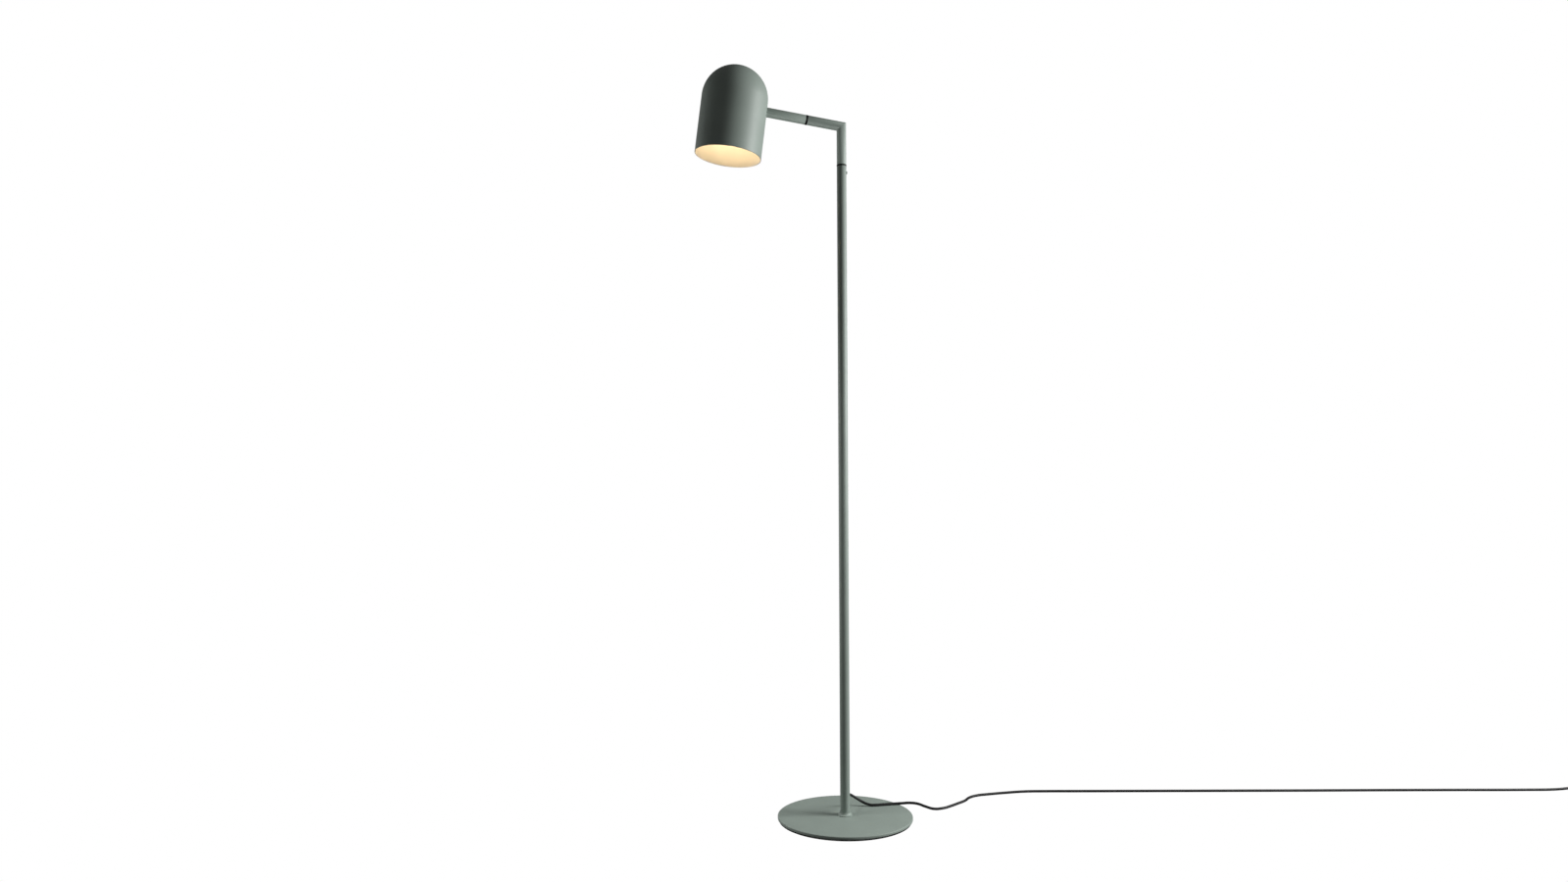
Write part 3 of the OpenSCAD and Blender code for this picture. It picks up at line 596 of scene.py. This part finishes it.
class LAMP_OT_lead(bpy.types.Operator):
    """Lays the lead from the gland over the floor, through the switch and coil to the plug"""
    bl_idname = "floor_lamp.lead"
    bl_label = "Lead"

    def execute(self, context):
        size = context.scene.floor_lamp.lead
        points = [Vector(p) for p in LEAD_ROUTE]
        points += [SWITCH @ Vector(p) for p in LINK_ROUTE]
        points += [SWITCH @ p for p in coil_points()]
        points += [SWITCH @ Vector(p) for p in TAIL_ROUTE]
        line = bpy.data.curves.new("mains_lead", "CURVE")
        line.dimensions = "3D"
        line.resolution_u = 6
        line.bevel_depth = size.diameter / 2
        line.bevel_resolution = 5
        line.use_fill_caps = True
        spline = line.splines.new("BEZIER")
        spline.bezier_points.add(len(points) - 1)
        for point, place in zip(spline.bezier_points, points):
            point.co = place
            point.handle_left_type = point.handle_right_type = "AUTO"
        lead = bpy.data.objects.new("mains_lead", line)
        context.scene.collection.objects.link(lead)
        line.materials.append(named_finish("lead_pvc"))
        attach(lead, "stand")
        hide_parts("power_cord", "link_cord", "cord_coil", "tail_cord")
        return {"FINISHED"}


# Foot ----------------------------------------------------------------------------------


class LAMP_OT_foot(bpy.types.Operator):
    """Makes the steel plate, the rubber pad under it and the flared collar"""
    bl_idname = "floor_lamp.foot"
    bl_label = "Foot"

    def execute(self, context):
        sizes = context.scene.floor_lamp.foot
        radius = PLATE_HIGH.x
        plate = rod("foot_plate", radius, PLATE_LOW.z, PLATE_HIGH.z, 288)
        round_edges(plate, level, sizes.edge_round, 5)
        finish_piece(plate, "stand", "sage_powder_coat", ["base_plate"], powder_coat(), angle=40)

        pad = rod("foot_pad", PAD_HIGH.x, PAD_LOW.z, PAD_HIGH.z, 144)
        round_edges(pad, level, 0.0005, 2)
        pick_faces(pad, lambda c, n: n.z < -0.99 and abs(c.x) < 0.01)
        for width, depth in ((0.008, 0), (0.0015, -0.0006), (0.009, 0), (0.0015, 0.0006)):
            bpy.ops.mesh.inset(thickness=width, depth=depth)
        close_edit()
        finish_piece(pad, "stand", "black_rubber", ["base_pad"], named_finish("foot_pad_rubber"))

        top, low_r, neck_r = PLATE_HIGH.z, sizes.collar_diameter / 2, 0.0102
        lip, rise = top + 0.0013, 0.0047
        flare = [
            (low_r + (neck_r - low_r) * math.sin(w), lip + rise * (1 - math.cos(w)))
            for w in (math.radians(90 * k / 14) for k in range(15))
        ]
        bore = context.scene.floor_lamp.tube.diameter / 2 + 0.00005
        profile = [(bore, top), (low_r - 0.0003, top), (low_r, top + 0.0003)] + flare
        profile += [(neck_r - 0.0004, lip + rise), (bore, lip + rise), (bore, top)]
        collar = turned("foot_flare", profile, 96)
        finish_piece(collar, "stand", "sage_powder_coat", ["foot_collar"], powder_coat())
        return {"FINISHED"}


# Tubes ---------------------------------------------------------------------------------


class LAMP_OT_tubes(bpy.types.Operator):
    """Makes the pole, the mitred elbow and the arm from thin round tube"""
    bl_idname = "floor_lamp.tubes"
    bl_label = "Tubes"

    def execute(self, context):
        sizes = context.scene.floor_lamp.tube
        radius = sizes.diameter / 2
        pole = rod("pole", radius, POLE_LOW.z, POLE_HIGH.z, 96, "NOTHING")
        apply_new(pole, "SOLIDIFY", thickness=sizes.wall, offset=-1)
        soften(pole, 0.0002)
        finish_piece(pole, "stand", "sage_powder_coat", ["pole_tube"], powder_coat())

        corner = Vector((0, 0, CORNER_Z))
        across = (ARM_WAY + Vector((0, 0, 1))).normalized()
        elbow = rod("elbow", radius, ELBOW_LOW.z, CORNER_Z + 0.03, 96, "NOTHING")
        take(elbow)
        bpy.ops.object.mode_set(mode="EDIT")
        bpy.ops.mesh.select_all(action="SELECT")
        bpy.ops.mesh.bisect(plane_co=corner, plane_no=across, clear_outer=True)
        close_edit()
        bpy.ops.object.empty_add(location=corner)
        mirror = context.object
        mirror.rotation_euler = across.to_track_quat("Z", "Y").to_euler()
        context.view_layer.update()
        apply_new(elbow, "MIRROR", use_axis=(False, False, True), mirror_object=mirror,
                  use_mirror_merge=True, merge_threshold=2e-5)
        bpy.data.objects.remove(mirror)
        take(elbow)
        bpy.ops.object.mode_set(mode="EDIT")
        bpy.ops.mesh.select_all(action="SELECT")
        end = corner + ELBOW_END * ARM_WAY
        bpy.ops.mesh.bisect(plane_co=end, plane_no=ARM_WAY, clear_outer=True)
        bpy.ops.mesh.select_all(action="SELECT")
        bpy.ops.mesh.remove_doubles(threshold=1e-5)
        bpy.ops.mesh.normals_make_consistent(inside=False)
        close_edit()
        apply_new(elbow, "SOLIDIFY", thickness=sizes.wall, offset=-1)
        soften(elbow, 0.0006, 3, 42)
        finish_piece(elbow, "elbow", "sage_powder_coat", ["elbow_tube"], powder_coat())

        arm = rod("arm", radius, 0, ARM_END - ARM_START, 96, "NOTHING")
        apply_new(arm, "SOLIDIFY", thickness=sizes.wall, offset=-1)
        settle(arm, along(ARM_START))
        wall = rod("shade_space", context.scene.floor_lamp.shade.diameter / 2, 0.02, 0.17, 192)
        settle(wall, SHADE)
        cut(arm, wall)
        soften(arm, 0.0002, 2, 50)
        finish_piece(arm, "arm", "sage_powder_coat", ["arm_tube"], powder_coat())

        lit = bpy.data.collections.new("lit_from_below")
        lit.objects.link(elbow)
        lit.objects.link(arm)
        bpy.data.objects["arm_softbox"].light_linking.receiver_collection = lit
        return {"FINISHED"}


# Swivels -------------------------------------------------------------------------------


def ring_profile(radius, bore, height, round_r):
    half = height / 2
    outer = arc((radius - round_r, half - round_r), round_r, 90, 0, 4)
    outer += arc((radius - round_r, round_r - half), round_r, 0, -90, 4)
    return [(bore, half)] + outer + [(bore, -half), (bore, half)]


class LAMP_OT_swivels(bpy.types.Operator):
    """Makes the black swivel rings and the socket screws beside them"""
    bl_idname = "floor_lamp.swivels"
    bl_label = "Swivels"

    def execute(self, context):
        radius = context.scene.floor_lamp.tube.diameter / 2 + 0.0003
        height = RING_HIGH.z - RING_LOW.z
        black = named_finish("swivel_nylon")
        low = turned("pole_swivel_ring", ring_profile(radius, RING_BORE, height, RING_ROUND), 96)
        settle(low, Matrix.Translation((0, 0, (RING_LOW.z + RING_HIGH.z) / 2)))
        finish_piece(low, "stand", "black_nylon", ["pole_ring"], black)
        high = turned("arm_swivel_ring", ring_profile(radius, RING_BORE, 0.0032, RING_ROUND), 96)
        settle(high, along(ARM_RING_AT))
        finish_piece(high, "elbow", "black_nylon", ["arm_ring"], black)

        places = {
            "pole_socket_screw": (
                Matrix.Translation((0, 0, POLE_SCREW_Z)) @ Matrix.Rotation(math.pi / 2, 4, "Y"),
                "stand", "pole_set_screw"),
            "arm_socket_screw": (
                ARM @ Matrix.Translation((-ARM_SCREW_AT, 0, 0))
                @ Matrix.Rotation(-math.pi / 2, 4, "X"),
                "elbow", "arm_set_screw"),
        }
        for name, (where, body, node) in places.items():
            profile = [(0, 0.0057), (0.00195, 0.0057), (0.00195, 0.0089), (0.0027, 0.009)]
            profile += [(0.0027, 0.0101)] + arc((0.0021, 0.0101), 0.0006, 0, 90, 4) + [(0, 0.0107)]
            screw = turned(name, profile, 48)
            cut(screw, rod("hex_key", 0.0014, 0.0092, 0.012, 6))
            settle(screw, where)
            finish_piece(screw, body, "sage_powder_coat", [node], powder_coat())
        return {"FINISHED"}


# Shade ---------------------------------------------------------------------------------


class LAMP_OT_shade(bpy.types.Operator):
    """Spins the tall dome shade, coated outside and enamelled white inside"""
    bl_idname = "floor_lamp.shade"
    bl_label = "Shade"

    def execute(self, context):
        sizes = context.scene.floor_lamp.shade
        radius, straight = sizes.diameter / 2, sizes.straight
        profile = [(radius, straight * k / 12) for k in range(12)]
        profile += arc((0, straight), radius, 0, 90, 36)
        profile[-1] = (0, straight + radius)
        shade = turned("shade", profile, 192)
        shade.data.materials.append(powder_coat())
        shade.data.materials.append(named_finish("shade_lining_enamel"))
        apply_new(shade, "SOLIDIFY", thickness=sizes.wall, offset=-1, material_offset=1,
                  material_offset_rim=0)
        rim_round = sizes.wall * 0.3
        round_edges(shade, lambda a, b: abs(a.z) < 1e-6 and abs(b.z) < 1e-6, rim_round, 3)
        settle(shade, SHADE)
        finish_piece(shade, "arm", "sage_powder_coat", ["shade_shell"])
        return {"FINISHED"}


# Bulb and lampholder -------------------------------------------------------------------


class LAMP_OT_bulb(bpy.types.Operator):
    """Makes the glowing bulb with its threaded cap, and the lampholder above it"""
    bl_idname = "floor_lamp.bulb"
    bl_label = "Bulb"

    def execute(self, context):
        light = context.scene.floor_lamp.light
        ball, middle = light.bulb_diameter / 2, 0.0665
        profile = arc((0, middle), ball, -90, 42, 26)
        profile[0] = (0, middle - ball)
        profile += [(0.0142, 0.0843), (0.0119, 0.0872), (0.0101, 0.0901), (0.0089, 0.0931)]
        profile += [(0.0084, 0.0955), (0.0081, 0.0972), (0.0063, 0.098), (0, 0.098)]
        glass = turned("bulb", profile, 72)
        settle(glass, SHADE)
        finish_piece(glass, "arm", "opal_glass", ["bulb_glass"], opal_glass(light), angle=60)

        profile = [(0, 0.0982), (0.0066, 0.0982)]
        for k in range(5):
            z = 0.1 + 0.003 * k
            profile += [(0.0063, z), (0.0066, z + 0.0007)]
            profile += [(0.0069, z + 0.0014), (0.0066, z + 0.0021)]
        profile += [(0.0062, 0.1152), (0.0035, 0.1178), (0.003, 0.1192)]
        profile += [(0.0022, 0.1198), (0, 0.12)]
        cap = turned("bulb_screw_cap", profile, 64)
        settle(cap, SHADE)
        finish_piece(cap, "arm", "nickel_brass", ["bulb_cap"], named_finish("bulb_cap_brass"))

        sleeve = turned("holder_skirt", [
            (0.0073, 0.097), (0.0134, 0.097), (0.0138, 0.0972), (0.014, 0.0976), (0.014, 0.103),
            (0.0136, 0.1034), (0.0136, 0.1195), (0.014, 0.1199), (0.014, 0.122), (0.012, 0.122),
            (0.012, 0.1), (0.0073, 0.1), (0.0073, 0.097)], 96)
        pick_faces(sleeve, lambda c, n: 0.104 < c.z < 0.119 and c.xy.length > 0.0133
                   and int(math.degrees(math.atan2(c.y, c.x)) % 360 / 3.75) % 4 < 2)
        bpy.ops.mesh.extrude_region_shrink_fatten(TRANSFORM_OT_shrink_fatten={"value": 0.0003})
        close_edit()
        soften(sleeve, 0.0001, 2, 40)
        settle(sleeve, SHADE)
        white = named_finish("holder_thermoplastic")
        finish_piece(sleeve, "arm", "white_thermoplastic", ["holder_sleeve"], white)

        roof = turned("holder_top", [
            (0.0052, 0.143), (0.0132, 0.143)] + arc((0.0132, 0.1422), 0.0008, 90, 0, 4) + [
            (0.014, 0.1222), (0.012, 0.1222), (0.012, 0.137), (0.0052, 0.137), (0.0052, 0.143)], 96)
        port = rod("lead_port", 0.0024, 0.008, 0.02, 32)
        settle(port, Matrix.Translation((0, 0, 0.13)) @ Matrix.Rotation(math.pi / 2, 4, "Y"))
        cut(roof, port)
        settle(roof, SHADE)
        finish_piece(roof, "arm", "white_thermoplastic", ["holder_cap"], white)
        return {"FINISHED"}


# Gland ---------------------------------------------------------------------------------


class LAMP_OT_gland(bpy.types.Operator):
    """Makes the ribbed, tapered gland that the lead leaves the pole through"""
    bl_idname = "floor_lamp.gland"
    bl_label = "Gland"

    def execute(self, context):
        profile = [(0.0027, 0.0074), (0.0048, 0.0074), (0.0048, 0.0101), (0.0045, 0.0105)]
        profile += [(0.0043, 0.0107)]
        for k in range(5):
            y = 0.0125 + 0.0031 * k
            r = 0.0042 - 0.00015 * (k + 0.5)
            profile += [(r, y), (r - 0.00015, y + 0.0002), (r - 0.00085, y + 0.0004)]
            profile += [(r - 0.00085, y + 0.0013), (r - 0.0002, y + 0.0015)]
            profile += [(r - 0.0001, y + 0.0017)]
        profile += [(0.0034, 0.0283), (0.0033, 0.0288), (0.0031, 0.029), (0.0027, 0.029)]
        profile += [(0.0027, 0.0074)]
        gland = turned("lead_gland", profile, 48)
        out = Matrix.Rotation(GLAND_TURN, 4, "Z") @ Matrix.Rotation(-math.pi / 2, 4, "X")
        settle(gland, Matrix.Translation((0, 0, GLAND_TIP[2])) @ out)
        finish_piece(gland, "stand", "black_rubber", ["cord_relief"], named_finish("gland_rubber"))
        return {"FINISHED"}


# Foot switch ---------------------------------------------------------------------------


def boot_profile(length):
    """Flexible boot that tapers from the switch along the lead, with grooves round it."""
    points = [(0.0027, 0), (0.0046, 0), (0.0046, 0.0022), (0.0043, 0.0026)]
    for k in range(4):
        z = 0.0045 + 0.0036 * k
        r = 0.0044 - 0.00023 * (k + 0.5)
        points += [(r, z), (r - 0.0007, z + 0.0003)]
        points += [(r - 0.0007, z + 0.0013), (r - 0.0001, z + 0.0016)]
    return points + [(0.0034, length - 0.0006), (0.0032, length), (0.0027, length), (0.0027, 0)]


class LAMP_OT_switch(bpy.types.Operator):
    """Makes the foot switch in the lead: shells, push button and boots"""
    bl_idname = "floor_lamp.switch"
    bl_label = "Foot Switch"

    def execute(self, context):
        black = named_finish("switch_plastic")
        base = oblong("switch_shell_base", *SWITCH_OUTLINE, 0, 0.0065)
        round_edges(base, lambda a, b: a.z < 1e-6 and b.z < 1e-6, 0.0008, 3)
        cut(base, oblong("hollow", *SWITCH_HOLLOW, 0.003, 0.01, 48))
        for side in (-1, 1):
            recess = rod("recess", 0.0028, -0.001, 0.0018, 32)
            settle(recess, Matrix.Translation((side * 0.024, 0, 0)))
            cut(base, recess)
        settle(base, SWITCH)
        finish_piece(base, "stand", "black_abs", ["switch_base"], black)

        cover = oblong("switch_shell_top", *SWITCH_OUTLINE, 0.00655, 0.019)
        round_edges(cover, lambda a, b: a.z > 0.0189 and b.z > 0.0189, 0.0035, 6)
        cut(cover, oblong("hollow", *SWITCH_HOLLOW, 0.005, 0.0155, 48))
        cut(cover, rod("well", 0.0094, 0.01, 0.03, 96))
        soften(cover, 0.0003, 2, 60)
        settle(cover, SWITCH)
        finish_piece(cover, "stand", "black_abs", ["switch_cover"], black)

        button = turned("switch_push_button", [
            (0, 0.014), (0.0105, 0.014), (0.0105, 0.0168), (0.009, 0.017), (0.009, 0.0208)]
            + arc((0.0078, 0.0208), 0.0012, 0, 90, 5)
            + [(0.0068, 0.0219), (0.0058, 0.0215), (0.004, 0.0212), (0, 0.021)], 96)
        settle(button, SWITCH)
        plastic = named_finish("button_plastic")
        finish_piece(button, "button", "black_abs", ["switch_button"], plastic)

        for name, side, nodes in (
            ("switch_boot_near", math.pi, ["switch_boots"]), ("switch_boot_far", 0, [])):
            boot = turned(name, boot_profile(0.02), 48)
            where = Matrix.Rotation(side, 4, "Z") @ Matrix.Translation((0.0331, 0, 0.0065))
            settle(boot, SWITCH @ where @ Matrix.Rotation(math.pi / 2, 4, "Y"))
            finish_piece(boot, "stand", "black_rubber", nodes, named_finish("gland_rubber"))
        return {"FINISHED"}


# Plug and tie --------------------------------------------------------------------------


class LAMP_OT_plug(bpy.types.Operator):
    """Makes the flat two-pin plug and the tie round the coil"""
    bl_idname = "floor_lamp.plug"
    bl_label = "Plug and Tie"

    def execute(self, context):
        lie = SWITCH @ Matrix.Translation(PLUG_AT) @ Matrix.Rotation(-math.pi / 2, 4, "Y")
        stand = lie @ Matrix.Rotation(math.pi / 2, 4, "Z")
        height = 0.003
        body = oblong("plug_shell", 0.035, 0.0135, 0, height, 48)
        pick_faces(body, lambda c, n: n.z > 0.99)
        for rise, wide, deep in (
            (0.005, 1, 1), (0.003, 0.97, 0.97), (0.003, 0.93, 0.95), (0.005, 0.99, 1),
            (0.004, 1.06, 1.03), (0.003, 1.05, 1.05), (0.006, 1, 1)):
            height += rise
            bpy.ops.mesh.extrude_region_move(TRANSFORM_OT_translate={"value": (0, 0, rise)})
            bpy.ops.transform.resize(value=(wide, deep, 1), center_override=(0, 0, height))
        bpy.ops.mesh.select_all(action="DESELECT")
        close_edit()
        soften(body, 0.0012, 4, 40)
        for side in (-1, 1):
            hole = rod("pin_hole", 0.00205, 0.026, 0.04, 32)
            settle(hole, Matrix.Translation((side * PIN_OUT, 0, 0)))
            cut(body, hole)
        neck = turned("plug_neck", [
            (0.0027, -0.02), (0.0033, -0.02), (0.0036, -0.0196)] + [
            (0.0036 + 0.0022 * (k / 10) - (0.0006 if k % 2 else 0), -0.0185 + 0.0018 * k)
            for k in range(11)] + [(0.0058, 0.0005), (0.0027, 0.0005), (0.0027, -0.02)], 48)
        take(body)
        neck.select_set(True)
        bpy.ops.object.join()
        settle(body, stand)
        finish_piece(body, "stand", "black_pvc", ["plug_body"], named_finish("switch_plastic"))

        for name, side, nodes in (
            ("plug_pin_left", -1, ["plug_pins"]), ("plug_pin_right", 1, [])):
            profile = [(0, 0.026), (0.0019, 0.026), (0.0019, 0.0418)]
            profile += [(0.002, 0.042), (0.002, 0.049)]
            profile += arc((0, 0.049), 0.002, 0, 90, 6)[1:-1] + [(0, 0.051)]
            pin = turned(name, profile, 32)
            pin.data.materials.append(named_finish("contact_brass"))
            pin.data.materials.append(named_finish("swivel_nylon"))
            for face in pin.data.polygons:
                face.material_index = 1 if face.center.z < 0.0417 else 0
            settle(pin, stand @ Matrix.Translation((side * PIN_OUT, 0, 0)))
            finish_piece(pin, "stand", "nickel_brass", nodes)

        deselect()
        bpy.ops.mesh.primitive_cube_add(size=1)
        strap = context.object
        strap.name = strap.data.name = "coil_strap"
        strap.scale = (0.0198, 0.009, 0.0119)
        settle(strap)
        pick_faces(strap, lambda c, n: abs(n.y) > 0.9)
        bpy.ops.mesh.delete(type="FACE")
        close_edit()
        round_edges(strap, lambda a, b: abs(a.y - b.y) > 0.005, 0.0024, 6)
        apply_new(strap, "SOLIDIFY", thickness=0.0008, offset=-1)
        soften(strap, 0.0002, 2, 60)
        settle(strap, SWITCH @ Matrix.Translation((COIL_MIDDLE.x + 0.028, COIL_MIDDLE.y, 0.00595)))
        finish_piece(strap, "stand", "black_nylon", ["cord_tie"], strap_weave())
        return {"FINISHED"}


# Inner pieces --------------------------------------------------------------------------


class LAMP_OT_inner(bpy.types.Operator):
    """Gives the pieces inside the tubes and the shade their own finishes"""
    bl_idname = "floor_lamp.inner"
    bl_label = "Inner Pieces"

    def execute(self, context):
        dressed = {
            "zinc_plated_steel": [
                "base_screw", "foot_plug", "pole_bush", "pole_stop_pin", "elbow_socket",
                "pole_nipple", "pole_washer", "pole_nut", "arm_bush", "arm_stop_pin",
                "arm_socket", "arm_nipple", "arm_washer", "arm_nut", "arm_end_bush",
                "shade_nipple", "saddle_washer", "shade_bracket", "shade_lock_washer",
                "shade_nut", "holder_nipple", "holder_nut", "switch_screws"],
            "lead_pvc": ["pole_lead", "elbow_lead", "arm_lead"],
            "switch_plastic": ["switch_core"],
            "holder_thermoplastic": ["holder_contact"],
        }
        for name, nodes in dressed.items():
            made = named_finish(name)
            for node in nodes:
                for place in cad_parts[node].material_slots:
                    place.material = made
        bare = [
            n for n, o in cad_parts.items()
            if not o.hide_render and not any(n in nodes for nodes in dressed.values())]
        if bare:
            raise RuntimeError(f"pieces without a finish: {bare}")
        return {"FINISHED"}


# Panel and run -------------------------------------------------------------------------


class LAMP_PT_panel(bpy.types.Panel):
    """Lists the lamp's sizes and its building steps"""
    bl_idname = "LAMP_PT_panel"
    bl_label = "Floor Lamp"
    bl_space_type = "VIEW_3D"
    bl_region_type = "UI"
    bl_category = "Floor Lamp"

    def draw(self, context):
        lamp = context.scene.floor_lamp
        for group in (lamp.foot, lamp.tube, lamp.shade, lamp.light, lamp.lead):
            box = self.layout.box()
            for name in group.__annotations__:
                box.prop(group, name)
        for step in STEPS:
            self.layout.operator(step.bl_idname)


STEPS = (
    LAMP_OT_stage, LAMP_OT_foot, LAMP_OT_tubes, LAMP_OT_swivels, LAMP_OT_shade, LAMP_OT_bulb,
    LAMP_OT_gland, LAMP_OT_switch, LAMP_OT_plug, LAMP_OT_lead, LAMP_OT_inner,
)
CLASSES = (
    FootSizes, TubeSizes, ShadeSizes, LightSizes, LeadSizes, FloorLamp, *STEPS, LAMP_PT_panel,
)


def register():
    for made in CLASSES:
        bpy.utils.register_class(made)
    bpy.types.Scene.floor_lamp = PointerProperty(type=FloorLamp)


def unregister():
    del bpy.types.Scene.floor_lamp
    for made in reversed(CLASSES):
        bpy.utils.unregister_class(made)


def main():
    register()
    for step in STEPS:
        group, name = step.bl_idname.split(".")
        getattr(getattr(bpy.ops, group), name)()


if __name__ == "__main__":
    main()
